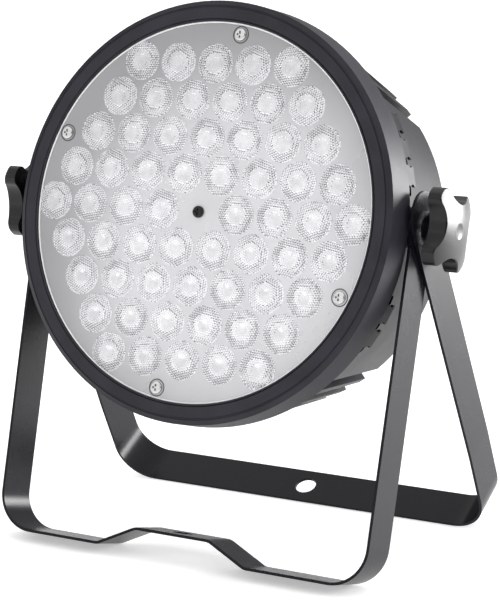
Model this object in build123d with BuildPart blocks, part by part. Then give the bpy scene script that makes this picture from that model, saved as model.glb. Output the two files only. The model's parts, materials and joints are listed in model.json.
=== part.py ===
from build123d import *
import os
from math import cos, radians, sin, sqrt

# LED par can light on a double-yoke floor stand, in millimetres.
# X is to the right of someone facing the lamp, Y goes back, Z is up, and the floor is Z = 0.
# The origin lies on the floor, in the middle of the stand's footprint.
# Places in the head are given as (across, up), at a depth measured back from the tops of the lenses.

# ---------------------------------------------------------------- driving dimensions
# stand: two yokes of flat steel strip that share one pivot axis
strip_width = 25.0
strip_thickness = 1.6
front_lean = -15.4
front_leg = 189.2
front_inside = 115.3
front_inside_foot = 113.2
front_ear_drop = 16.0
front_leg_bend = 60.0
front_bend = 21.5
hump_across = -2.0
hump_height = 11.2
hump_top_half = 22.8
hump_foot_half = 46.0
hump_bend = 7.0
front_ear_radius = 12.5
front_hole_radius = 5.5
rear_lean = 27.3
rear_inside_top = 117.4
rear_inside_foot = 120.8
rear_ear_drop = 16.0
rear_splay_drop = 148.0
rear_splay_bend = 60.0
rear_bend = 21.5
rear_ear_radius = 13.0
rear_ear_rise = 8.0
rear_hole_radius = 6.25
ear_hole_radius = 4.3

# head: a bezel in front and a tapered, ribbed housing behind it
head_tilt = 13.8
pivot_depth = 32.1
pivot_rise = 3.2
bezel_front_radius = 113.7
bezel_rear_radius = 114.6
bezel_back = 19.8
window_radius = 102.5
window_lip = -0.4
housing_back = 97.0
housing_front_radius = 113.0
housing_back_radius = 101.0
housing_wall = 2.2
spigot_radius = 110.8
spigot_front = 12.0
flange_back = 29.0
rib_step = 7.5
slot_width = 9.2
slot_depth = 7.0
side_top_angle = 38.65
side_bottom_angle = 46.15
vent_angles = [11.25, 18.75, 26.25, 33.75, -18.75, -26.25, -33.75]
vent_depth = 26.4
vent_length = 6.0
vent_width = 4.6
pad_angles = [15.0, 22.5, 30.0, -22.5, -30.0]
pad_depth = 25.4
pad_length = 11.0
pad_width = 9.0
pad_thickness = 1.4

# optics and heat sink, by depth
lens_pitch = 23.0
lens_radius = 10.35
lens_rings = 4
plate_radius = 104.6
plate_front = 1.0
plate_back = 2.5
lens_back = 12.4
board_front = 13.8
sink_front = 15.4
sink_back = 18.4
sink_radius = 99.0
fin_back = 36.4
plate_screw_circle = 96.6
plate_screw_angles = [82, 157, 262, 337]
post_across = 70.5
post_up = 50.0
post_radius = 4.0

# pivot stack, by distance from the middle plane
boss_face = 113.6
boss_radius = 11.0
insert_length = 16.0
insert_radius = 6.5
stud_radius = 4.0
stud_inner = 99.0
thread_clearance = 0.05
knob_washer_thickness = 1.0
knob_washer_radius = 9.5
neck_radius = 8.5
knob_rim_inner = 126.6
knob_rim_outer = 133.4
knob_crown = 137.8
knob_tip_radius = 25.4
knob_scallop_circle = 29.0
knob_scallop_radius = 14.6
knob_lobe_fillet = 4.6
knob_edge_fillet = 0.8
knob_dimple_depth = 0.5
knob_dimple_curve = 25.0
left_knob_turn = 40.0
right_knob_turn = 28.3

# rear panel, with places on the back wall
panel_width = 132.0
panel_height = 76.0
panel_up = -22.0
panel_thickness = 1.5
button_up = -4.0
button_across = {"menu": -4.0, "down": 8.0, "up": 20.0, "enter": 32.0}
button_radius = 3.0
button_back = 100.3
display_across = -36.0
display_width = 36.0
display_height = 16.0
socket_up = -40.0
mains_up = -44.0
dmx_in_across = -47.0
dmx_out_across = -19.0
inlet_across = 13.0
outlet_across = 44.5
fuse_across = 52.0
socket_inner = 76.0
flange_thickness = 2.0
cavity_depth = 18.0
pin_recess = 7.5
fan_up = 52.0
fan_size = 60.0
fan_depth = 15.0
fan_hole_pitch = 50.0
fan_bore = 28.0
guard_thickness = 1.2
eye_up = -77.0
eye_tab_rise = 5.0
eye_hole_radius = 5.0
eye_tab_radius = 8.0
eye_reach = 12.0

# ---------------------------------------------------------------- derived frame
half_strip = strip_width / 2


def leg_up(lean):
    """The direction up the legs of a yoke that leans back by an angle."""
    return Vector(0, -sin(radians(lean)), cos(radians(lean)))


pivot_height = front_leg * cos(radians(front_lean)) - half_strip * sin(radians(front_lean))
rear_leg = (pivot_height - half_strip * sin(radians(rear_lean))) / cos(radians(rear_lean))
front_reach = -front_leg * sin(radians(front_lean)) + half_strip * cos(radians(front_lean))
rear_reach = rear_leg * sin(radians(rear_lean)) + half_strip * cos(radians(rear_lean))
pivot = Vector(0, (front_reach - rear_reach) / 2, pivot_height)

across = Vector(1, 0, 0)
upward = Vector(0, sin(radians(head_tilt)), cos(radians(head_tilt)))
inward = Vector(0, cos(radians(head_tilt)), -sin(radians(head_tilt)))
lens_centre = pivot - inward * pivot_depth - upward * pivot_rise
face = Plane(origin=lens_centre, x_dir=across, z_dir=inward * -1)
head_axis = Axis(lens_centre, inward)
panel_back = housing_back + panel_thickness
socket_back = panel_back + flange_thickness
front_outside = front_inside + strip_thickness
rear_ear_outside = rear_inside_top + strip_thickness


def at_depth(depth):
    """The plane across the head at a depth. Extruding by a negative amount goes further in."""
    return face.offset(-depth)


def section_at(angle):
    """The plane through the head's axis at an angle: x is the radius and y is the depth."""
    radial = across * cos(radians(angle)) + upward * sin(radians(angle))
    return Plane(origin=lens_centre, x_dir=radial, z_dir=radial.cross(inward))


def tangent_plane(angle, depth, radius):
    """The plane that touches a circle round the head's axis, facing out: x runs round the circle."""
    radial = across * cos(radians(angle)) + upward * sin(radians(angle))
    return Plane(origin=lens_centre + radial * radius + inward * depth, x_dir=radial.cross(inward), z_dir=radial)


def housing_radius(depth):
    """Outside radius of the tapered housing."""
    share = (depth - bezel_back) / (housing_back - bezel_back)
    return housing_front_radius + share * (housing_back_radius - housing_front_radius)


def side_plane(x, centre=pivot):
    """The plane across the pivot axis at x, facing outwards on either side."""
    side = 1 if x > 0 else -1
    return Plane(origin=centre + across * x, x_dir=(0, side, 0), z_dir=(side, 0, 0))


def leg_plane(lean):
    """The plane of a yoke: x is across and y is up its legs, from the pivot."""
    return Plane(origin=pivot, x_dir=across, z_dir=across.cross(leg_up(lean)))


def finish(builder, name):
    """Labels a finished piece and writes it."""
    builder.part.label = name
    export_step(builder.part, f"parts/{name}.step")


def box_between(places, width, height, front, back):
    """Adds upright blocks at places in the head, from one depth to another."""
    with BuildSketch(at_depth(front)) as outlines:
        with Locations(*places):
            Rectangle(width, height)
    extrude(outlines.sketch, amount=front - back)


def disc_between(places, radius, front, back, mode=Mode.ADD):
    """Adds or cuts round pieces along the head's axis at places, from one depth to another."""
    with BuildSketch(at_depth(front)) as circles:
        with Locations(*places):
            Circle(radius)
    extrude(circles.sketch, amount=front - back, mode=mode)


def cross_screws(plane, places, head_radius, head_height, shank_radius, shank_length):
    """Round-headed screws with a cross recess, with their heads standing on a plane."""
    with BuildPart() as screws:
        with BuildSketch(plane):
            with Locations(*places):
                Circle(head_radius)
        extrude(amount=head_height)
        tops = screws.faces().sort_by(Axis(plane.origin, plane.z_dir))[-len(places):]
        fillet(tops.edges(), head_height * 0.45)
        with BuildSketch(plane):
            with Locations(*places):
                Circle(shank_radius)
        extrude(amount=-shank_length)
        with BuildSketch(plane.offset(head_height)):
            with Locations(*places):
                Rectangle(head_radius * 1.1, head_radius * 0.28)
                Rectangle(head_radius * 0.28, head_radius * 1.1)
        extrude(amount=-head_height * 0.6, mode=Mode.SUBTRACT)
    return screws


os.makedirs("parts", exist_ok=True)

# ---------------------------------------------------------------- stand
# Front yoke: a U of strip whose bottom has a raised middle with a clamp hole.
with BuildPart() as front_bracket:
    front_foot_outside = front_inside_foot + strip_thickness
    with BuildSketch(leg_plane(front_lean)):
        with BuildLine():
            FilletPolyline(
                (-front_outside, 0),
                (-front_outside, -front_ear_drop),
                (-front_foot_outside, -front_leg),
                (hump_across - hump_foot_half, -front_leg),
                (hump_across - hump_top_half, -front_leg + hump_height),
                (hump_across + hump_top_half, -front_leg + hump_height),
                (hump_across + hump_foot_half, -front_leg),
                (front_foot_outside, -front_leg),
                (front_outside, -front_ear_drop),
                (front_outside, 0),
                radius=[front_leg_bend, front_bend] + [hump_bend] * 4 + [front_bend, front_leg_bend],
            )
            offset(amount=strip_thickness, side=Side.LEFT)
        make_face()
    extrude(amount=half_strip, both=True)
    for x in (-front_inside, front_inside):
        with BuildSketch(side_plane(x)):
            Circle(front_ear_radius)
        extrude(amount=strip_thickness)
        with BuildSketch(side_plane(x)):
            Circle(ear_hole_radius)
        extrude(amount=strip_thickness, mode=Mode.SUBTRACT)
    hump_middle = pivot + across * hump_across - leg_up(front_lean) * (front_leg - hump_height)
    with BuildSketch(Plane(origin=hump_middle, x_dir=across, z_dir=leg_up(front_lean))):
        Circle(front_hole_radius)
    extrude(amount=strip_thickness, mode=Mode.SUBTRACT)
finish(front_bracket, "front_bracket")

# Rear yoke: a longer U that splays below its ears, so that it folds over the front one.
with BuildPart() as rear_bracket:
    rear_foot_outside = rear_inside_foot + strip_thickness
    with BuildSketch(leg_plane(rear_lean)):
        with BuildLine():
            FilletPolyline(
                (-rear_ear_outside, rear_ear_rise),
                (-rear_ear_outside, -rear_ear_drop),
                (-rear_foot_outside, -rear_splay_drop),
                (-rear_foot_outside, -rear_leg),
                (rear_foot_outside, -rear_leg),
                (rear_foot_outside, -rear_splay_drop),
                (rear_ear_outside, -rear_ear_drop),
                (rear_ear_outside, rear_ear_rise),
                radius=[rear_splay_bend, rear_splay_bend, rear_bend, rear_bend, rear_splay_bend, rear_splay_bend],
            )
            offset(amount=strip_thickness, side=Side.LEFT)
        make_face()
    extrude(amount=half_strip, both=True)
    rear_ear_top = pivot + leg_up(rear_lean) * rear_ear_rise
    for x in (-rear_inside_top, rear_inside_top):
        with BuildSketch(side_plane(x, rear_ear_top)):
            Circle(rear_ear_radius)
        extrude(amount=strip_thickness)
        with BuildSketch(side_plane(x)):
            Circle(ear_hole_radius)
        extrude(amount=strip_thickness, mode=Mode.SUBTRACT)
    rear_middle = pivot - leg_up(rear_lean) * rear_leg
    with BuildSketch(Plane(origin=rear_middle, x_dir=across, z_dir=leg_up(rear_lean))):
        Circle(rear_hole_radius)
    extrude(amount=strip_thickness, mode=Mode.SUBTRACT)
finish(rear_bracket, "rear_bracket")

# ---------------------------------------------------------------- pivot stack


def ring_pair(inside, thickness, outer_radius, inner_radius, name):
    """A ring on each side, round the pivot axis."""
    with BuildPart() as rings:
        for x in (-inside, inside):
            with BuildSketch(side_plane(x)):
                Circle(outer_radius)
                Circle(inner_radius, mode=Mode.SUBTRACT)
            extrude(amount=thickness)
    finish(rings, name)


ring_pair(boss_face - insert_length, insert_length, insert_radius, stud_radius + thread_clearance, "threaded_inserts")
ring_pair(boss_face, front_inside - boss_face, front_ear_radius - 1.5, ear_hole_radius, "head_spacers")
ring_pair(front_outside, rear_inside_top - front_outside, front_ear_radius - 0.5, ear_hole_radius, "ear_washers")


dome_curve = (knob_tip_radius**2 + (knob_crown - knob_rim_outer) ** 2) / (2 * (knob_crown - knob_rim_outer))


def dome_reach(radius):
    """Distance of the knobs' domed face from the middle plane, at a radius from the pivot axis."""
    return knob_crown - dome_curve + sqrt(dome_curve**2 - radius**2)


def hand_knob(side_name, side, turn):
    """A four-lobed knob with its steel stud and the washer under it."""
    washer_face = side * rear_ear_outside
    with BuildPart() as washer:
        with BuildSketch(side_plane(washer_face)):
            Circle(knob_washer_radius)
            Circle(ear_hole_radius, mode=Mode.SUBTRACT)
        extrude(amount=knob_washer_thickness)
    finish(washer, f"{side_name}_knob_washer")

    with BuildPart() as stud:
        with BuildSketch(side_plane(side * stud_inner)):
            Circle(stud_radius)
        extrude(amount=knob_rim_inner - stud_inner)
        chamfer(stud.faces().sort_by(Axis.X)[0 if side > 0 else -1].edges(), 0.8)
    finish(stud, f"{side_name}_stud")

    with BuildPart() as knob:
        with BuildSketch(side_plane(side * knob_rim_inner)) as star:
            Circle(knob_tip_radius)
            with PolarLocations(knob_scallop_circle, 4, start_angle=turn + 45):
                Circle(knob_scallop_radius, mode=Mode.SUBTRACT)
            fillet(star.vertices(), knob_lobe_fillet)
        extrude(amount=knob_crown - knob_rim_inner)
        with BuildSketch(Plane(origin=pivot, x_dir=(side, 0, 0), z_dir=(0, 0, 1))):
            with BuildLine():
                half_radius = knob_tip_radius / 2
                dome_edge = (knob_rim_outer, knob_tip_radius)
                ThreePointArc(dome_edge, (dome_reach(half_radius), half_radius), (knob_crown, 0))
                Polyline((knob_crown, 0), (knob_rim_inner, 0), (knob_rim_inner, knob_tip_radius), dome_edge)
            make_face()
        revolve(axis=Axis(pivot, across), mode=Mode.INTERSECT)
        domed_face = knob.faces().sort_by(Axis.X)[-1 if side > 0 else 0]
        fillet(domed_face.edges(), knob_edge_fillet)
        with Locations(pivot + across * side * (knob_crown - knob_dimple_depth + knob_dimple_curve)):
            Sphere(knob_dimple_curve, mode=Mode.SUBTRACT)
        with BuildSketch(side_plane(side * (rear_ear_outside + knob_washer_thickness))):
            Circle(neck_radius)
        extrude(amount=knob_rim_inner - rear_ear_outside - knob_washer_thickness, taper=-12)
        with BuildSketch(side_plane(side * (rear_ear_outside + knob_washer_thickness))):
            Circle(stud_radius)
        extrude(amount=knob_rim_inner - rear_ear_outside - knob_washer_thickness, mode=Mode.SUBTRACT)
    finish(knob, f"{side_name}_knob")


hand_knob("left", -1, left_knob_turn)
hand_knob("right", 1, right_knob_turn)

# ---------------------------------------------------------------- front of the head
# Bezel: a ring with a thin lip round the window, a groove, a chamfered rim and a side band.
with BuildPart() as front_bezel:
    with BuildSketch(section_at(0)):
        with BuildLine():
            Polyline(
                (window_radius, window_lip),
                (window_radius + 0.8, window_lip),
                (window_radius + 1.0, 0.3),
                (window_radius + 1.5, -0.5),
                (109.8, -0.5),
                (110.1, 0.1),
                (110.8, 0.1),
                (111.1, -0.4),
                (bezel_front_radius, 1.0),
                (bezel_rear_radius, bezel_back),
                (spigot_radius + 0.7, bezel_back),
                (spigot_radius + 0.3, plate_back + 1.2),
                (plate_radius + 0.3, plate_back + 1.2),
                (plate_radius + 0.3, plate_front),
                (window_radius, plate_front),
                close=True,
            )
        make_face()
    revolve(axis=head_axis)
finish(front_bezel, "front_bezel")

lens_places = []
for row in range(-lens_rings, lens_rings + 1):
    row_count = 2 * lens_rings + 1 - abs(row)
    for place in range(row_count):
        lens_place = ((place - (row_count - 1) / 2) * lens_pitch, row * lens_pitch * sqrt(3) / 2)
        if lens_place != (0, 0):
            lens_places.append(lens_place)

plate_screw_places = []
for angle in plate_screw_angles:
    plate_screw_places.append((plate_screw_circle * cos(radians(angle)), plate_screw_circle * sin(radians(angle))))

# Lens plate: holds every lens by its rim, with a screw in the middle and four near the edge.
with BuildPart() as lens_plate:
    disc_between([(0, 0)], plate_radius, plate_front, plate_back)
    disc_between(lens_places, lens_radius + 0.1, plate_front, plate_back, Mode.SUBTRACT)
    disc_between(plate_screw_places + [(0, 0)], 1.7, plate_front, plate_back, Mode.SUBTRACT)
finish(lens_plate, "lens_plate")

# Lenses: a short rim and a cone that narrows to the LED, with a hollow for it.
with BuildPart() as lenses:
    disc_between(lens_places, lens_radius, 0, plate_back)
    with BuildSketch(at_depth(plate_back)):
        with Locations(*lens_places):
            Circle(lens_radius - 1.0)
    extrude(amount=plate_back - lens_back, taper=24)
    disc_between(lens_places, 2.6, lens_back - 3, lens_back, Mode.SUBTRACT)
finish(lenses, "lenses")

plate_screws = cross_screws(at_depth(plate_front), plate_screw_places, 3.4, 1.5, 1.5, 7)
finish(plate_screws, "plate_screws")
centre_screw = cross_screws(at_depth(plate_front), [(0, 0)], 3.2, 1.6, 1.5, 7)
finish(centre_screw, "centre_screw")

# Spacers: carry the lens plate on the heat sink and pass through the LED board.
with BuildPart() as plate_spacers:
    disc_between(plate_screw_places + [(0, 0)], 3.0, plate_back, sink_front)
    disc_between(plate_screw_places + [(0, 0)], 1.6, plate_back, plate_back + 7, Mode.SUBTRACT)
finish(plate_spacers, "plate_spacers")

with BuildPart() as led_board:
    disc_between([(0, 0)], sink_radius, board_front, sink_front)
    disc_between(plate_screw_places + [(0, 0)], 3.1, board_front, sink_front, Mode.SUBTRACT)
finish(led_board, "led_board")

with BuildPart() as leds:
    box_between(lens_places, 3.4, 3.4, board_front - 1, board_front)
finish(leds, "leds")

post_places = []
for x in (-post_across, post_across):
    for y in (-post_up, post_up):
        post_places.append((x, y))

# Heat sink: a disc behind the LED board with a bank of upright fins.
with BuildPart() as heat_sink:
    disc_between([(0, 0)], sink_radius, sink_front, sink_back)
    with BuildSketch(at_depth(sink_back)):
        for fin in range(-5, 6):
            with Locations((fin * 10, 0)):
                Rectangle(2, 2 * sqrt(76**2 - (fin * 10) ** 2))
    extrude(amount=sink_back - fin_back)
finish(heat_sink, "heat_sink")

with BuildPart() as sink_posts:
    disc_between(post_places, post_radius, sink_back, housing_back - housing_wall)
    disc_between(post_places, 1.6, housing_back - 10, housing_back - housing_wall, Mode.SUBTRACT)
finish(sink_posts, "sink_posts")

# ---------------------------------------------------------------- rear housing
back_wall = housing_back - housing_wall
fan_corner = fan_hole_pitch / 2
fan_corners = []
for x in (-fan_corner, fan_corner):
    for y in (fan_up - fan_corner, fan_up + fan_corner):
        fan_corners.append((x, y))
panel_screw_places = []
for x in (-panel_width / 2 + 3.4, panel_width / 2 - 3.4):
    for y in (panel_up - panel_height / 2 + 4, panel_up + panel_height / 2 - 4):
        panel_screw_places.append((x, y))
eye_screw_places = [(-8, eye_up - 1), (8, eye_up - 1)]

with BuildPart() as rear_housing:
    # tapered shell with its back wall, and the spigot inside the bezel
    floor_front = housing_radius(flange_back) - slot_depth
    floor_back = housing_radius(housing_back) - slot_depth
    with BuildSketch(section_at(0)):
        with BuildLine():
            Polyline(
                (0, housing_back),
                (housing_back_radius, housing_back),
                (housing_front_radius, bezel_back),
                (spigot_radius, bezel_back),
                (spigot_radius, spigot_front),
                (spigot_radius - housing_wall, spigot_front),
                (spigot_radius - housing_wall, flange_back - housing_wall - 2),
                (floor_front - housing_wall, flange_back - housing_wall),
                (floor_back - housing_wall, back_wall),
                (0, back_wall),
                close=True,
            )
        make_face()
    revolve(axis=head_axis)
    # slots between the cooling ribs, above and below the plain sides
    slot_angles = []
    for step in range(48):
        slot_angle = (step + 0.5) * rib_step
        limit = side_top_angle if slot_angle < 180 else side_bottom_angle
        if abs(sin(radians(slot_angle))) > sin(radians(limit)):
            slot_angles.append(slot_angle)
    for slot_angle in slot_angles:
        with BuildSketch(section_at(slot_angle)):
            with BuildLine():
                Polyline(
                    (floor_front, flange_back),
                    (housing_front_radius + 5, flange_back),
                    (housing_front_radius + 5, housing_back + 1),
                    (floor_back, housing_back + 1),
                    (floor_back, housing_back),
                    close=True,
                )
            make_face()
        extrude(amount=slot_width / 2, both=True, mode=Mode.SUBTRACT)
    # pivot bosses, bored for the threaded inserts
    for x in (-boss_face, boss_face):
        with BuildSketch(side_plane(x)):
            Circle(boss_radius)
        extrude(amount=-insert_length)
        with BuildSketch(side_plane(x)):
            Circle(insert_radius)
        extrude(amount=-insert_length, mode=Mode.SUBTRACT)
    # raised pads close behind the bezel, with air vents between them
    for pad_angle in pad_angles:
        for angle in (pad_angle, 180 - pad_angle):
            with Locations(tangent_plane(angle, pad_depth, housing_front_radius)):
                Box(pad_length, pad_width, pad_thickness)
    for vent_angle in vent_angles:
        for angle in (vent_angle, 180 - vent_angle):
            with BuildSketch(tangent_plane(angle, vent_depth, housing_front_radius + 1)):
                SlotOverall(vent_length, vent_width)
            extrude(amount=-4.5, mode=Mode.SUBTRACT)
    # openings and screw holes in the back wall
    with BuildSketch(at_depth(back_wall)):
        with Locations((0, panel_up)):
            Rectangle(panel_width - 12.8, panel_height - 10)
        with Locations((0, fan_up)):
            Circle(fan_bore)
        with Locations(*post_places, *panel_screw_places):
            Circle(1.7)
        with Locations(*fan_corners):
            Circle(2.1)
        with Locations(*eye_screw_places):
            Circle(1.6)
    extrude(amount=-housing_wall, mode=Mode.SUBTRACT)
finish(rear_housing, "rear_housing")

back_face = Plane(origin=at_depth(housing_back).origin, x_dir=across * -1, z_dir=inward)


def behind(places):
    """Places as seen on a plane that faces backwards, whose x runs the other way."""
    return [(-x, y) for x, y in places]


housing_screws = cross_screws(back_face, behind(post_places), 3.2, 1.8, 1.5, 9)
finish(housing_screws, "housing_screws")

# ---------------------------------------------------------------- fan
with BuildPart() as fan_frame:
    with BuildSketch(at_depth(back_wall - fan_depth)) as fan_outline:
        with Locations((0, fan_up)):
            Rectangle(fan_size, fan_size)
        fillet(fan_outline.vertices(), 4)
        with Locations((0, fan_up)):
            Circle(fan_bore, mode=Mode.SUBTRACT)
        with Locations(*fan_corners):
            Circle(2.1, mode=Mode.SUBTRACT)
    extrude(amount=-fan_depth)
    with BuildSketch(at_depth(back_wall - fan_depth)):
        with Locations((0, fan_up)):
            Circle(14)
            Rectangle(3, 2 * fan_bore + 2)
            Rectangle(2 * fan_bore + 2, 3)
    extrude(amount=-2.5)
    disc_between([(0, fan_up)], 2.1, back_wall - fan_depth, back_wall - fan_depth + 2.5, Mode.SUBTRACT)
finish(fan_frame, "fan_frame")

with BuildPart() as fan_rotor:
    rotor_front = back_wall - fan_depth + 3.5
    rotor_back = back_wall - 1.5
    blade_plane = at_depth((rotor_front + rotor_back) / 2)
    for blade in range(7):
        spin = blade * 360 / 7
        centre = (20.5 * cos(radians(spin)), fan_up + 20.5 * sin(radians(spin)))
        with Locations(blade_plane):
            with Locations(Location((centre[0], centre[1], 0), (0, 0, spin))):
                Box(15, 12, 1.2, rotation=(38, 0, 0))
    disc_between([(0, fan_up)], 13.5, rotor_front, rotor_back)
    disc_between([(0, fan_up)], 27, rotor_front - 1, rotor_back + 1, Mode.INTERSECT)
    disc_between([(0, fan_up)], 2.0, rotor_front - 3, rotor_front)
finish(fan_rotor, "fan_rotor")

with BuildPart() as fan_guard:
    with BuildSketch(at_depth(housing_back)) as guard_face:
        for ring_radius in (29.6, 22.5, 15.5, 8.5):
            with Locations((0, fan_up)):
                Circle(ring_radius)
                Circle(ring_radius - 1.6, mode=Mode.SUBTRACT)
        with Locations((0, fan_up)):
            Circle(3)
            Rectangle(1.8, 58)
            Rectangle(58, 1.8)
        with Locations(*fan_corners):
            Circle(4.2)
        for spin in (45, 135):
            with Locations((0, fan_up)):
                Rectangle(70, 1.8, rotation=spin)
        with Locations(*fan_corners):
            Circle(2.1, mode=Mode.SUBTRACT)
    extrude(amount=-guard_thickness)
finish(fan_guard, "fan_guard")
fan_screws = cross_screws(back_face.offset(guard_thickness), behind(fan_corners), 3.2, 1.8, 1.9, 12)
finish(fan_screws, "fan_screws")

# ---------------------------------------------------------------- safety cable eye
with BuildPart() as safety_eye:
    with BuildSketch(at_depth(housing_back)) as foot:
        with Locations((0, eye_up)):
            RectangleRounded(26, 12, 2)
        with Locations(*eye_screw_places):
            Circle(1.7, mode=Mode.SUBTRACT)
    extrude(amount=-2)
    eye_middle = lens_centre + upward * (eye_up + eye_tab_rise) + inward * (housing_back + eye_reach)
    with BuildSketch(Plane(origin=eye_middle, x_dir=inward, z_dir=upward)):
        Circle(eye_tab_radius)
        with Locations((-eye_reach / 2, 0)):
            Rectangle(eye_reach, 2 * eye_tab_radius)
        Circle(eye_hole_radius, mode=Mode.SUBTRACT)
    extrude(amount=1, both=True)
finish(safety_eye, "safety_eye")
eye_screws = cross_screws(back_face.offset(2), behind(eye_screw_places), 2.8, 1.6, 1.5, 6)
finish(eye_screws, "eye_screws")

# ---------------------------------------------------------------- rear panel
socket_places = [(dmx_in_across, socket_up), (dmx_out_across, socket_up)]
mains_places = [(inlet_across, mains_up), (outlet_across, mains_up)]
button_places = [(x, button_up) for x in button_across.values()]
socket_screw_places = []
for x, y in socket_places:
    socket_screw_places.append((x - 9.5, y + 12))
    socket_screw_places.append((x + 9.5, y - 12))
standoff_places = [(display_across - 20.5, button_up), (40.5, button_up)]
latch_place = (dmx_out_across, socket_up + 12.6)

with BuildPart() as control_panel:
    with BuildSketch(at_depth(housing_back)):
        with Locations((0, panel_up)):
            RectangleRounded(panel_width, panel_height, 4)
        with Locations((display_across, button_up)):
            Rectangle(display_width, display_height, mode=Mode.SUBTRACT)
        with Locations(*button_places):
            Circle(button_radius + 0.3, mode=Mode.SUBTRACT)
        with Locations(*socket_places):
            Circle(12, mode=Mode.SUBTRACT)
        with Locations(latch_place):
            Rectangle(8.6, 4.6, mode=Mode.SUBTRACT)
        with Locations(*mains_places):
            Rectangle(27.4, 20.4, mode=Mode.SUBTRACT)
        with Locations((fuse_across, button_up)):
            Circle(6.5, mode=Mode.SUBTRACT)
        with Locations(*panel_screw_places, *socket_screw_places):
            Circle(1.6, mode=Mode.SUBTRACT)
    extrude(amount=-panel_thickness)
finish(control_panel, "control_panel")
panel_screws = cross_screws(back_face.offset(panel_thickness), behind(panel_screw_places), 2.8, 1.6, 1.5, 6)
finish(panel_screws, "panel_screws")

with BuildPart() as display_window:
    with BuildSketch(at_depth(housing_back - 1)):
        with Locations((display_across, button_up)):
            Rectangle(display_width - 0.2, display_height - 0.2)
    extrude(amount=-3)
    chamfer(display_window.faces().sort_by(head_axis)[-1].edges(), 0.4)
finish(display_window, "display_window")

with BuildPart() as control_board:
    box_between([(-8, button_up)], 102, 18, 84.4, 86)
finish(control_board, "control_board")
with BuildPart() as board_standoffs:
    disc_between(standoff_places, 2.2, 86, housing_back)
finish(board_standoffs, "board_standoffs")
with BuildPart() as display_module:
    box_between([(display_across, button_up)], 34, 14, 86, 94)
finish(display_module, "display_module")
with BuildPart() as tact_switches:
    box_between(button_places, 6, 6, 86, 90)
finish(tact_switches, "tact_switches")

for button_name, button_x in button_across.items():
    with BuildPart() as button:
        disc_between([(button_x, button_up)], button_radius, 91.4, button_back)
        fillet(button.faces().sort_by(head_axis)[-1].edges(), 0.8)
        disc_between([(button_x, button_up)], button_radius + 1.2, housing_back - 1.4, housing_back - 0.1)
    finish(button, f"button_{button_name}")

# Data sockets: flanged, with a cup for the plug or a face with pin holes.
pin_offsets = [(-3.6, -1.9), (3.6, -1.9), (0, 4.0)]


def pins_at(place):
    """Places of the three pins of a data socket."""
    return [(place[0] + x, place[1] + y) for x, y in pin_offsets]


def data_flange(place):
    """The square flange and round body of a data socket."""
    with BuildSketch(at_depth(panel_back)) as flange:
        with Locations(place):
            RectangleRounded(26, 31, 3)
        with Locations(*[(x, y) for x, y in socket_screw_places if abs(x - place[0]) < 13]):
            Circle(1.6, mode=Mode.SUBTRACT)
    extrude(flange.sketch, amount=-flange_thickness)
    disc_between([place], 11.7, socket_inner, panel_back)


with BuildPart() as dmx_in_socket:
    data_flange(socket_places[0])
    disc_between([socket_places[0]], 9.6, socket_back - cavity_depth, socket_back, Mode.SUBTRACT)
finish(dmx_in_socket, "dmx_in_socket")
with BuildPart() as dmx_in_pins:
    disc_between(pins_at(socket_places[0]), 1.2, socket_back - cavity_depth, socket_back - pin_recess)
finish(dmx_in_pins, "dmx_in_pins")

with BuildPart() as dmx_out_socket:
    data_flange(socket_places[1])
    with BuildSketch(at_depth(socket_back - 10)):
        with Locations(socket_places[1]):
            Circle(9.8)
            Circle(8.4, mode=Mode.SUBTRACT)
    extrude(amount=-10, mode=Mode.SUBTRACT)
    disc_between(pins_at(socket_places[1]), 1.5, socket_back - 12, socket_back, Mode.SUBTRACT)
    with BuildSketch(at_depth(panel_back - 4)):
        with Locations(latch_place):
            Rectangle(8.6, 4.6)
    extrude(amount=-flange_thickness - 4, mode=Mode.SUBTRACT)
finish(dmx_out_socket, "dmx_out_socket")
with BuildPart() as dmx_out_latch:
    box_between([latch_place], 8, 4, panel_back - 1, socket_back + 2.4)
    fillet(dmx_out_latch.faces().sort_by(head_axis)[-1].edges(), 0.8)
finish(dmx_out_latch, "dmx_out_latch")
socket_screws = cross_screws(back_face.offset(panel_thickness + flange_thickness), behind(socket_screw_places), 2.4, 1.4, 1.4, 6)
finish(socket_screws, "socket_screws")


def mains_body(place):
    """The flange and body of a mains connector."""
    with BuildSketch(at_depth(panel_back)) as flange:
        with Locations(place):
            RectangleRounded(31, 24, 2)
    extrude(flange.sketch, amount=-flange_thickness)
    box_between([place], 27, 20, socket_inner, panel_back)


blade_offsets = [(-7, -1.5), (7, -1.5), (0, 2.5)]
inlet_blades = [(inlet_across + x, mains_up + y) for x, y in blade_offsets]
outlet_slots = [(outlet_across + x, mains_up + y) for x, y in blade_offsets]
with BuildPart() as power_inlet:
    mains_body(mains_places[0])
    with BuildSketch(at_depth(socket_back - cavity_depth)) as cavity:
        with Locations(mains_places[0]):
            Rectangle(24.4, 16.8)
        chamfer(cavity.vertices().group_by(Axis.Z)[-1], 4)
    extrude(amount=-cavity_depth, mode=Mode.SUBTRACT)
finish(power_inlet, "power_inlet")
with BuildPart() as power_inlet_blades:
    box_between(inlet_blades, 2, 4, socket_back - cavity_depth, socket_back - pin_recess)
finish(power_inlet_blades, "power_inlet_blades")
with BuildPart() as power_outlet:
    mains_body(mains_places[1])
    with BuildSketch(at_depth(socket_back - 12)):
        with Locations(*outlet_slots):
            Rectangle(2.4, 4.6)
    extrude(amount=-12, mode=Mode.SUBTRACT)
finish(power_outlet, "power_outlet")

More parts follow.
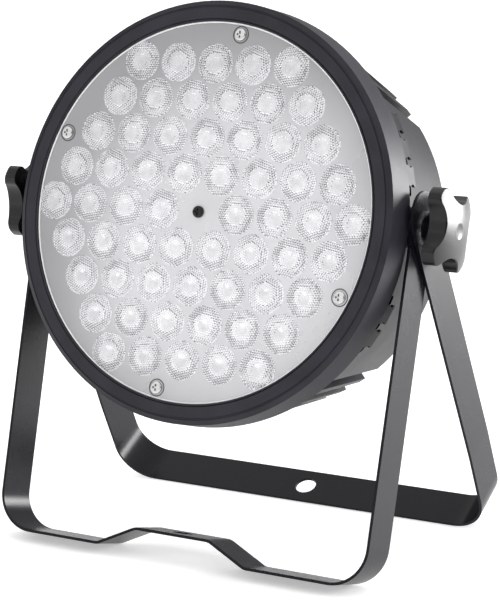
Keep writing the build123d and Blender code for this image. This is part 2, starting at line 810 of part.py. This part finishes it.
fuse_place = [(fuse_across, button_up)]
with BuildPart() as fuse_holder:
    disc_between(fuse_place, 6.2, socket_inner, panel_back)
    disc_between(fuse_place, 8, panel_back, socket_back)
    disc_between(fuse_place, 4.5, socket_back - 14, socket_back, Mode.SUBTRACT)
finish(fuse_holder, "fuse_holder")
with BuildPart() as fuse_cap:
    disc_between(fuse_place, 4.2, socket_back - 10, socket_back)
    disc_between(fuse_place, 6.6, socket_back, socket_back + 5)
    fillet(fuse_cap.faces().sort_by(head_axis)[-1].edges(), 0.8)
    with BuildSketch(at_depth(socket_back + 3.6)):
        with Locations(*fuse_place):
            Rectangle(9, 1.4)
    extrude(amount=-1.4, mode=Mode.SUBTRACT)
finish(fuse_cap, "fuse_cap")

# ---------------------------------------------------------------- power supply, inside
supply_front = 60.4
supply_posts = [(-45, 6), (45, 6), (-45, -46), (45, -46)]
with BuildPart() as supply_board:
    box_between([(0, -20)], 116, 64, supply_front, supply_front + 1.6)
finish(supply_board, "supply_board")
with BuildPart() as supply_spacers:
    disc_between(supply_posts, 2.5, sink_back, supply_front)
finish(supply_spacers, "supply_spacers")
with BuildPart() as supply_transformer:
    box_between([(0, -20)], 30, 26, supply_front - 20, supply_front)
finish(supply_transformer, "supply_transformer")
with BuildPart() as supply_capacitors:
    disc_between([(-36, -12), (-36, -34), (34, -34)], 8, supply_front - 21, supply_front)
finish(supply_capacitors, "supply_capacitors")
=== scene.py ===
import bpy
import json
import math
import random
from mathutils import Matrix, Quaternion, Vector


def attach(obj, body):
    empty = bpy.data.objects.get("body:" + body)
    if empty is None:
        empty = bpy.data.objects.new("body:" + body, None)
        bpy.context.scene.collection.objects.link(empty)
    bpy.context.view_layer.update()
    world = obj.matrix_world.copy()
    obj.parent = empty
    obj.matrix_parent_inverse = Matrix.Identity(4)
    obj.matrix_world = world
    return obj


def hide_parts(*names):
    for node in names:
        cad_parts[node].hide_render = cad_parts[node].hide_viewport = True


# Looks of the LED par can light. Metres, in the CAD model's frame.
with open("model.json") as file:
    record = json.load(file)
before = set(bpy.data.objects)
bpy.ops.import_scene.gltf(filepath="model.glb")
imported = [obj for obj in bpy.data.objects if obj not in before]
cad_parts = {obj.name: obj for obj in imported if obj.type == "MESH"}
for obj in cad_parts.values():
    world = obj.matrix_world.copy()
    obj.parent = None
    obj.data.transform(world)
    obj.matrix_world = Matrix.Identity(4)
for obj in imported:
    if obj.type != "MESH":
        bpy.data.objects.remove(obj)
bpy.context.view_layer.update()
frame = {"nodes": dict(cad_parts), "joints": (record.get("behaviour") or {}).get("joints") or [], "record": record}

# ---------------------------------------------------------------- places from the frame
MM = 0.001
joints = {joint["name"]: joint for joint in frame["joints"]}
pivot = Vector(joints["head_tilt"]["pos_m"])
across = Vector((1, 0, 0))
inward = Vector(joints["fan_spin"]["axis"]).normalized()
upward = across.cross(inward)
# The pivot lies behind the middle of the lens face, and above it.
PIVOT_DEPTH = 32.1 * MM
PIVOT_RISE = 3.2 * MM
lens_centre = pivot - inward * PIVOT_DEPTH - upward * PIVOT_RISE


def head_matrix(x=0.0, up=0.0, depth=0.0):
    """Local x across, y up and z out of the head's face, at a place in the head."""
    origin = lens_centre + across * x + upward * up + inward * depth
    matrix = Matrix((across, upward, -inward)).transposed().to_4x4()
    matrix.translation = origin
    return matrix


# ---------------------------------------------------------------- camera, world and lights
CAMERA_OFFSET = Vector((0.56217, -0.9437, 0.17068))
CAMERA_FORWARD = Vector((-0.48053, 0.85495, -0.19532))
CAMERA_ROLL = math.radians(-0.18)
CAMERA_LENS = 125.1
CAMERA_SENSOR = 36.0
WORLD_BRIGHT_SIDE = (0.75, 0.55, 0.1)
WORLD_DARK = 0.03
WORLD_BRIGHT = 0.5
WORLD_FROM, WORLD_TO = -0.6, 0.8
SUN_STRENGTH = 2.4
SUN_SPREAD = 120.0
SUN_FROM = (0.15, 0.1, 1.0)
SUN_PLACE = (0.0, 0.0, 3.0)
KEY_PLACE = (1.3, 1.6, 0.3)
KEY_SIZE = (1.1, 0.55)
KEY_POWER = 55.0
FILL_PLACE = (-1.1, -1.9, 1.0)
FILL_SIZE = (2.2, 2.0)
FILL_POWER = 17.0


def add_camera():
    data = bpy.data.cameras.new("camera")
    data.lens = CAMERA_LENS
    data.sensor_width = CAMERA_SENSOR
    camera = bpy.data.objects.new("camera", data)
    bpy.context.scene.collection.objects.link(camera)
    camera.location = lens_centre + CAMERA_OFFSET
    camera.rotation_mode = "QUATERNION"
    level = CAMERA_FORWARD.to_track_quat("-Z", "Y")
    camera.rotation_quaternion = level @ Quaternion((0, 0, 1), CAMERA_ROLL)
    bpy.context.scene.camera = camera


def add_area_light(name, place, size, power):
    """A rectangular light that faces the middle of the lens plate."""
    data = bpy.data.lights.new(name, "AREA")
    data.shape = "RECTANGLE"
    data.size, data.size_y = size
    data.energy = power
    light = bpy.data.objects.new(name, data)
    bpy.context.scene.collection.objects.link(light)
    light.location = place
    light.rotation_mode = "QUATERNION"
    light.rotation_quaternion = (lens_centre - Vector(place)).to_track_quat("-Z", "Y")


def add_sun():
    """A broad, soft light from above, which keeps the floor white out to the horizon."""
    data = bpy.data.lights.new("sun", "SUN")
    data.energy = SUN_STRENGTH
    data.angle = math.radians(SUN_SPREAD)
    sun = bpy.data.objects.new("sun", data)
    bpy.context.scene.collection.objects.link(sun)
    sun.location = SUN_PLACE
    sun.rotation_mode = "QUATERNION"
    sun.rotation_quaternion = (-Vector(SUN_FROM)).to_track_quat("-Z", "Y")


def add_world():
    """A studio room that is brighter on one side than on the other."""
    world = bpy.data.worlds.new("studio")
    bpy.context.scene.world = world
    world.use_nodes = True
    nodes, links = world.node_tree.nodes, world.node_tree.links
    background = nodes["Background"]
    background.inputs["Color"].default_value = (1.0, 1.0, 1.0, 1.0)
    coordinates = nodes.new("ShaderNodeTexCoord")
    towards = nodes.new("ShaderNodeVectorMath")
    towards.operation = "DOT_PRODUCT"
    towards.inputs[1].default_value = Vector(WORLD_BRIGHT_SIDE).normalized()
    links.new(coordinates.outputs["Generated"], towards.inputs[0])
    spread = nodes.new("ShaderNodeMapRange")
    spread.inputs["From Min"].default_value = WORLD_FROM
    spread.inputs["From Max"].default_value = WORLD_TO
    spread.inputs["To Min"].default_value = WORLD_DARK
    spread.inputs["To Max"].default_value = WORLD_BRIGHT
    links.new(towards.outputs["Value"], spread.inputs["Value"])
    links.new(spread.outputs["Result"], background.inputs["Strength"])


def mesh_object(name, vertices, faces, smooth=False):
    mesh = bpy.data.meshes.new(name)
    mesh.from_pydata(vertices, [], faces)
    mesh.update()
    piece = bpy.data.objects.new(name, mesh)
    bpy.context.scene.collection.objects.link(piece)
    if smooth:
        for polygon in mesh.polygons:
            polygon.use_smooth = True
    return piece


add_camera()
add_world()
add_sun()
add_area_light("key", KEY_PLACE, KEY_SIZE, KEY_POWER)
add_area_light("fill", FILL_PLACE, FILL_SIZE, FILL_POWER)
bpy.context.scene.view_settings.view_transform = "Standard"


# ---------------------------------------------------------------- materials
MOTTLE_DETAIL = 5.0
MOTTLE_START, MOTTLE_END = 0.35, 0.65
GRAIN_DETAIL = 2.0
COAT_ROUGHNESS = 0.15
TINT_ON_GREEN = 0.15
# The painted shade is lightest right of and below the middle of the lens face.
FADE_ACROSS = 20 * MM
FADE_UP = -18 * MM
# Painted shade on the plate and lenses, darker towards the rim of the window. Where each fade starts and ends, in
# metres from its middle, and how dark it ends.
PLATE_PAINTED_SHADE = (0.05, 0.122, 0.46)
LENS_PAINTED_SHADE = (0.05, 0.122, 0.8)


def new_material(name):
    material = bpy.data.materials.new(name)
    material.use_nodes = True
    return material, material.node_tree.nodes, material.node_tree.links


def noise_node(nodes, links, scale, detail):
    coordinates = nodes.new("ShaderNodeTexCoord")
    noise = nodes.new("ShaderNodeTexNoise")
    noise.inputs["Scale"].default_value = scale
    noise.inputs["Detail"].default_value = detail
    links.new(coordinates.outputs["Object"], noise.inputs["Vector"])
    return noise


def ramp_node(nodes, links, source, low, high):
    ramp = nodes.new("ShaderNodeValToRGB")
    ramp.color_ramp.elements[0].position = MOTTLE_START
    ramp.color_ramp.elements[1].position = MOTTLE_END
    ramp.color_ramp.elements[0].color = low
    ramp.color_ramp.elements[1].color = high
    links.new(source, ramp.inputs["Fac"])
    return ramp


def painted_shade_tone(nodes, links, tone, start, end, darkest):
    """Painted shade: darkens a tone with distance from the middle of the head's face."""
    coordinates = nodes.new("ShaderNodeTexCoord")
    distance = nodes.new("ShaderNodeVectorMath")
    distance.operation = "DISTANCE"
    distance.inputs[1].default_value = lens_centre + across * FADE_ACROSS + upward * FADE_UP
    links.new(coordinates.outputs["Object"], distance.inputs[0])
    fade = nodes.new("ShaderNodeMapRange")
    fade.interpolation_type = "SMOOTHSTEP"
    fade.inputs["From Min"].default_value = start
    fade.inputs["From Max"].default_value = end
    fade.inputs["To Min"].default_value = 1.0
    fade.inputs["To Max"].default_value = darkest
    links.new(distance.outputs["Value"], fade.inputs["Value"])
    product = nodes.new("ShaderNodeVectorMath")
    product.operation = "SCALE"
    links.new(tone, product.inputs[0])
    links.new(fade.outputs["Result"], product.inputs["Scale"])
    return product.outputs["Vector"]


def surface(name, dark, light, rough, mottle, grain, relief, relief_mm,
            metallic=0.0, coat=0.0, specular=0.5, painted_rim_shade=None):
    """A mottled, grained surface: colour and roughness from a slow noise, bump from a fine one, and optionally
    painted shade towards the rim of the window.
    """
    material, nodes, links = new_material(name)
    shader = nodes["Principled BSDF"]
    shader.inputs["Metallic"].default_value = metallic
    shader.inputs["Coat Weight"].default_value = coat
    shader.inputs["Coat Roughness"].default_value = COAT_ROUGHNESS
    shader.inputs["Specular IOR Level"].default_value = specular
    slow = noise_node(nodes, links, mottle, MOTTLE_DETAIL)
    colour = ramp_node(nodes, links, slow.outputs["Fac"], (*dark, 1.0), (*light, 1.0))
    tone = colour.outputs["Color"]
    # Painted shade: the tone darkens with distance from the middle of the head's face.
    if painted_rim_shade is not None:
        tone = painted_shade_tone(nodes, links, tone, *painted_rim_shade)
    links.new(tone, shader.inputs["Base Color"])
    spread = nodes.new("ShaderNodeMapRange")
    spread.inputs["To Min"].default_value = rough[0]
    spread.inputs["To Max"].default_value = rough[1]
    links.new(slow.outputs["Fac"], spread.inputs["Value"])
    links.new(spread.outputs["Result"], shader.inputs["Roughness"])
    fine = noise_node(nodes, links, grain, GRAIN_DETAIL)
    bump = nodes.new("ShaderNodeBump")
    bump.inputs["Strength"].default_value = relief
    bump.inputs["Distance"].default_value = relief_mm * MM
    links.new(fine.outputs["Fac"], bump.inputs["Height"])
    links.new(bump.outputs["Normal"], shader.inputs["Normal"])
    return material


def grey(level, tint=0.0):
    """A neutral grey with a slight cool tint."""
    return (level, level * (1 - tint * TINT_ON_GREEN), level * (1 + tint))


looks_by_slot = {
    "yoke_paint": dict(dark=grey(0.0045, 0.5), light=grey(0.006, 0.5), rough=(0.24, 0.3),
                       mottle=40, grain=1400, relief=0.25, relief_mm=0.05, specular=0.16),
    "bezel_plastic": dict(dark=grey(0.02, 0.26), light=grey(0.027, 0.26), rough=(0.42, 0.5),
                          mottle=60, grain=2600, relief=0.6, relief_mm=0.1, specular=0.2),
    "housing_plastic": dict(dark=grey(0.007, 0.35), light=grey(0.01, 0.35), rough=(0.36, 0.46),
                            mottle=60, grain=2200, relief=0.6, relief_mm=0.1, specular=0.16),
    "knob_plastic": dict(dark=grey(0.003, 0.3), light=grey(0.005, 0.3), rough=(0.22, 0.3),
                         mottle=80, grain=1800, relief=0.3, relief_mm=0.04, specular=0.3),
    # The silver plate carries painted shade, darker towards the rim of the window.
    "plate_silver": dict(dark=grey(0.58, 0.03), light=grey(0.65, 0.03), rough=(0.24, 0.32),
                         mottle=14, grain=1500, relief=0.05, relief_mm=0.02, metallic=0.25, coat=0.3,
                         painted_rim_shade=PLATE_PAINTED_SHADE),
    "screw_chrome": dict(dark=grey(0.5), light=grey(0.6), rough=(0.1, 0.18),
                         mottle=300, grain=6000, relief=0.08, relief_mm=0.02, metallic=1.0),
    "screw_black": dict(dark=grey(0.012), light=grey(0.02), rough=(0.25, 0.35),
                        mottle=300, grain=6000, relief=0.2, relief_mm=0.03, metallic=0.6),
    "steel": dict(dark=grey(0.5), light=grey(0.62), rough=(0.22, 0.32),
                  mottle=200, grain=5000, relief=0.2, relief_mm=0.03, metallic=1.0),
    "fibre": dict(dark=grey(0.02), light=grey(0.035), rough=(0.7, 0.85),
                  mottle=120, grain=3000, relief=0.6, relief_mm=0.1),
    "brass": dict(dark=(0.6, 0.42, 0.17), light=(0.72, 0.52, 0.22), rough=(0.2, 0.3),
                  mottle=120, grain=4000, relief=0.1, relief_mm=0.03, metallic=1.0),
    "aluminium": dict(dark=grey(0.55), light=grey(0.66), rough=(0.3, 0.42),
                      mottle=90, grain=3000, relief=0.3, relief_mm=0.05, metallic=1.0),
    "board_white": dict(dark=grey(0.74), light=grey(0.8), rough=(0.25, 0.35),
                        mottle=50, grain=3000, relief=0.15, relief_mm=0.03),
    "board_green": dict(dark=(0.02, 0.1, 0.045), light=(0.03, 0.14, 0.06), rough=(0.25, 0.35),
                        mottle=60, grain=3000, relief=0.2, relief_mm=0.03),
    "led_resin": dict(dark=(0.75, 0.62, 0.2), light=(0.85, 0.74, 0.3), rough=(0.1, 0.2),
                      mottle=400, grain=5000, relief=0.1, relief_mm=0.02),
    "fan_plastic": dict(dark=grey(0.012), light=grey(0.02), rough=(0.4, 0.5),
                        mottle=120, grain=3000, relief=0.3, relief_mm=0.05),
    "guard_steel": dict(dark=grey(0.02), light=grey(0.03), rough=(0.35, 0.45),
                        mottle=120, grain=2500, relief=0.3, relief_mm=0.04),
    "panel_paint": dict(dark=grey(0.025), light=grey(0.034), rough=(0.5, 0.6),
                        mottle=60, grain=2600, relief=0.5, relief_mm=0.06),
    "display_acrylic": dict(dark=(0.05, 0.002, 0.002), light=(0.08, 0.004, 0.004), rough=(0.05, 0.1),
                            mottle=60, grain=3000, relief=0.02, relief_mm=0.02, coat=0.6),
    "key_plastic": dict(dark=grey(0.06), light=grey(0.08), rough=(0.35, 0.45),
                        mottle=200, grain=4000, relief=0.3, relief_mm=0.04),
    "socket_plastic": dict(dark=grey(0.014), light=grey(0.02), rough=(0.38, 0.48),
                           mottle=150, grain=3500, relief=0.4, relief_mm=0.05),
    "transformer_tape": dict(dark=(0.6, 0.42, 0.05), light=(0.7, 0.5, 0.08), rough=(0.25, 0.35),
                             mottle=90, grain=3000, relief=0.1, relief_mm=0.03),
    "capacitor_sleeve": dict(dark=(0.01, 0.015, 0.06), light=(0.015, 0.022, 0.09), rough=(0.2, 0.3),
                             mottle=90, grain=3000, relief=0.1, relief_mm=0.03),
}
looks = {slot: surface(slot, **look) for slot, look in looks_by_slot.items()}
slot_of = {part["node"]: part["material_slot"] for part in frame["record"]["subparts"]}
for node_name, node in frame["nodes"].items():
    slot = slot_of[node_name]
    if slot in looks:
        node.data.materials.clear()
        node.data.materials.append(looks[slot])


# ---------------------------------------------------------------- lenses
LENS_PITCH = 23.0 * MM
LENS_RADIUS = 10.75 * MM
LENS_RINGS = 4
CRATER_RADIUS = 3.9 * MM
CRATER_DEPTH = 0.4 * MM
PLATE_DEPTH = 1.0 * MM
PEBBLE_PITCH = 1.4 * MM
PEBBLE_HEIGHT = 0.75 * MM
PEBBLE_SCATTER = (0.6, 1.2)
PEBBLE_MARGIN = 0.3
RIM_FADE = 2.0 * MM
RIM_SHARE = 0.25
SMOOTH_SHARE = 0.9
RIDGE_SHARE = 0.45
LENS_SET_BACK = 0.1 * MM
LENS_FALL = PLATE_DEPTH - 0.14 * MM
LENS_SEED = 7
# Corners of neighbouring pebbles that are within a micrometre become one vertex.
SNAPS_PER_METRE = 1e6


def lens_places():
    places = []
    for row in range(-LENS_RINGS, LENS_RINGS + 1):
        count = 2 * LENS_RINGS + 1 - abs(row)
        for index in range(count):
            x = (index - (count - 1) / 2) * LENS_PITCH
            y = row * LENS_PITCH * math.sqrt(3) / 2
            if abs(x) + abs(y) > MM:
                places.append((x, y))
    return places


def lens_height(radius):
    """Height of the lens face: a smooth crater, a flat ring, and a rounded fall to the plate."""
    share = radius / LENS_RADIUS
    crater = CRATER_RADIUS / LENS_RADIUS
    if share < crater:
        return -CRATER_DEPTH * 0.5 * (1 + math.cos(math.pi * share / crater)) - LENS_SET_BACK
    if share < RIDGE_SHARE:
        return -LENS_SET_BACK
    fall = (share - RIDGE_SHARE) / (1 - RIDGE_SHARE)
    return -LENS_SET_BACK - LENS_FALL * (0.5 - 0.5 * math.cos(math.pi * fall))


def lens_mesh(places):
    """One mesh of all the lenses: a pebbled face of small six-sided facets over each lens."""
    vertices, faces, smooth = [], [], []
    rng = random.Random(LENS_SEED)
    reach = int(LENS_RADIUS / PEBBLE_PITCH) + 2
    side = PEBBLE_PITCH / math.sqrt(3)
    for cx, cy in places:
        turn = rng.uniform(0, math.pi / 3)
        index_of = {}

        def vertex(x, y, lift):
            radius = math.hypot(x, y)
            if radius > LENS_RADIUS:
                x, y = x * LENS_RADIUS / radius, y * LENS_RADIUS / radius
                radius = LENS_RADIUS
            key = (round(x * SNAPS_PER_METRE), round(y * SNAPS_PER_METRE))
            if key not in index_of:
                index_of[key] = len(vertices)
                px = x * math.cos(turn) - y * math.sin(turn)
                py = x * math.sin(turn) + y * math.cos(turn)
                vertices.append((cx + px, cy + py, lens_height(radius) + lift))
            return index_of[key]

        for j in range(-reach, reach + 1):
            for i in range(-reach, reach + 1):
                x = PEBBLE_PITCH * (i + j / 2)
                y = PEBBLE_PITCH * j * math.sqrt(3) / 2
                radius = math.hypot(x, y)
                if radius > LENS_RADIUS + PEBBLE_PITCH * PEBBLE_MARGIN:
                    continue
                pebbled = radius > CRATER_RADIUS * SMOOTH_SHARE
                fade = min(1.0, (LENS_RADIUS - radius) / RIM_FADE + RIM_SHARE)
                lift = PEBBLE_HEIGHT * fade * rng.uniform(*PEBBLE_SCATTER) if pebbled else 0.0
                lift = min(lift, -lens_height(radius))
                middle = vertex(x, y, lift)
                corners = []
                for k in range(6):
                    angle = math.pi / 6 + k * math.pi / 3
                    corner_x, corner_y = x + side * math.cos(angle), y + side * math.sin(angle)
                    corners.append(vertex(corner_x, corner_y, 0.0))
                for k in range(6):
                    a, b = corners[k], corners[(k + 1) % 6]
                    if a != b:
                        faces.append((middle, a, b))
                        smooth.append(not pebbled)
    return vertices, faces, smooth


def add_lenses():
    vertices, faces, smooth = lens_mesh(lens_places())
    piece = mesh_object("lens_array", vertices, faces)
    for polygon, soft in zip(piece.data.polygons, smooth):
        polygon.use_smooth = soft
    piece.data.transform(head_matrix())
    piece.data.materials.append(lens_look)
    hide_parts("lenses")
    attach(piece, "head")


# The lens faces carry painted shade, darker towards the rim of the window.
lens_look = surface("lens_face", dark=grey(0.6, 0.03), light=grey(0.72, 0.03), rough=(0.1, 0.18),
                    mottle=160, grain=3000, relief=0.02, relief_mm=0.02, metallic=0.75, coat=0.2,
                    painted_rim_shade=LENS_PAINTED_SHADE)
add_lenses()


# ---------------------------------------------------------------- rings on the face: a painted highlight line and painted shadow rings
def ring_mesh(profile, turns):
    """Turns a closed profile of (radius, height) about local z."""
    count = len(profile)
    vertices, faces = [], []
    for i in range(turns):
        angle = 2 * math.pi * i / turns
        for radius, height in profile:
            vertices.append((radius * math.cos(angle), radius * math.sin(angle), height))
    for i in range(turns):
        for j in range(count):
            a, b = i * count + j, i * count + (j + 1) % count
            c, d = ((i + 1) % turns) * count + (j + 1) % count, ((i + 1) % turns) * count + j
            faces.append((a, b, c, d))
    return vertices, faces


def add_ring(name, x, up, depth, profile, look, turns):
    """A thin raised ring on the face, at a place in millimetres, which rides on the head."""
    vertices, faces = ring_mesh([(r * MM, h * MM) for r, h in profile], turns)
    piece = mesh_object(name, vertices, faces, smooth=True)
    piece.data.transform(head_matrix(x * MM, up * MM, depth * MM))
    piece.data.materials.append(look)
    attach(piece, "head")


# Profiles of (radius, height), and places, in millimetres.
# A near-white bead at the window's edge: painted highlight along the edge of the window.
LIP_PROFILE = [(101.5, 0.0), (101.7, 0.42), (102.1, 0.6), (102.42, 0.42), (102.45, 0.0)]
PLATE_SCREW_CIRCLE = 96.6
PLATE_SCREW_ANGLES = (82, 157, 262, 337)
# Dark raised rings around the plate screws: painted shadow in the gap around each screw head.
SCREW_RING_PROFILE = [(4.2, 0.0), (4.3, 0.12), (4.5, 0.16), (4.7, 0.12), (4.8, 0.0)]
FACE_DEPTH = 1.0
LIP_TURNS = 256
SCREW_RING_TURNS = 48

# Near-white look of the bead: painted highlight.
lip_highlight_look = surface("lip_line", dark=grey(0.82), light=grey(0.9), rough=(0.3, 0.4),
                   mottle=40, grain=2000, relief=0.05, relief_mm=0.02)
# Near-black look of the screw rings: painted shadow.
screw_shadow_ring_look = surface("screw_shadow_ring", dark=grey(0.05), light=grey(0.07), rough=(0.35, 0.45),
                    mottle=60, grain=2000, relief=0.05, relief_mm=0.02)
add_ring("window_lip_painted_highlight", 0, 0, FACE_DEPTH, LIP_PROFILE, lip_highlight_look, LIP_TURNS)
for index, angle in enumerate(PLATE_SCREW_ANGLES):
    screw_x = PLATE_SCREW_CIRCLE * math.cos(math.radians(angle))
    screw_up = PLATE_SCREW_CIRCLE * math.sin(math.radians(angle))
    add_ring(f"screw_shadow_ring_{index + 1}", screw_x, screw_up, FACE_DEPTH, SCREW_RING_PROFILE,
             screw_shadow_ring_look, SCREW_RING_TURNS)


# ---------------------------------------------------------------- floor
FLOOR_SIZE = 60.0
FLOOR_GLOW = 0.42
floor_look = surface("floor", dark=grey(0.92), light=grey(0.94), rough=(0.6, 0.7),
                     mottle=2, grain=300, relief=0.02, relief_mm=0.02)
floor_shader = floor_look.node_tree.nodes["Principled BSDF"]
floor_shader.inputs["Emission Color"].default_value = (1.0, 1.0, 1.0, 1.0)
floor_shader.inputs["Emission Strength"].default_value = FLOOR_GLOW
half = FLOOR_SIZE / 2
floor_corners = [(-half, -half, 0), (half, -half, 0), (half, half, 0), (-half, half, 0)]
floor = mesh_object("floor", floor_corners, [(0, 1, 2, 3)])
floor.data.materials.append(floor_look)

# ---------------------------------------------------------------- edges of the moulded and bent pieces
EDGE_WIDTHS = {"front_bracket": 0.25 * MM, "rear_bracket": 0.25 * MM, "front_bezel": 0.3 * MM}
EDGE_SEGMENTS = 2
EDGE_ANGLE = 50.0
for node_name, width in EDGE_WIDTHS.items():
    bevel = frame["nodes"][node_name].modifiers.new("edge", "BEVEL")
    bevel.width = width
    bevel.segments = EDGE_SEGMENTS
    bevel.limit_method = "ANGLE"
    bevel.angle_limit = math.radians(EDGE_ANGLE)
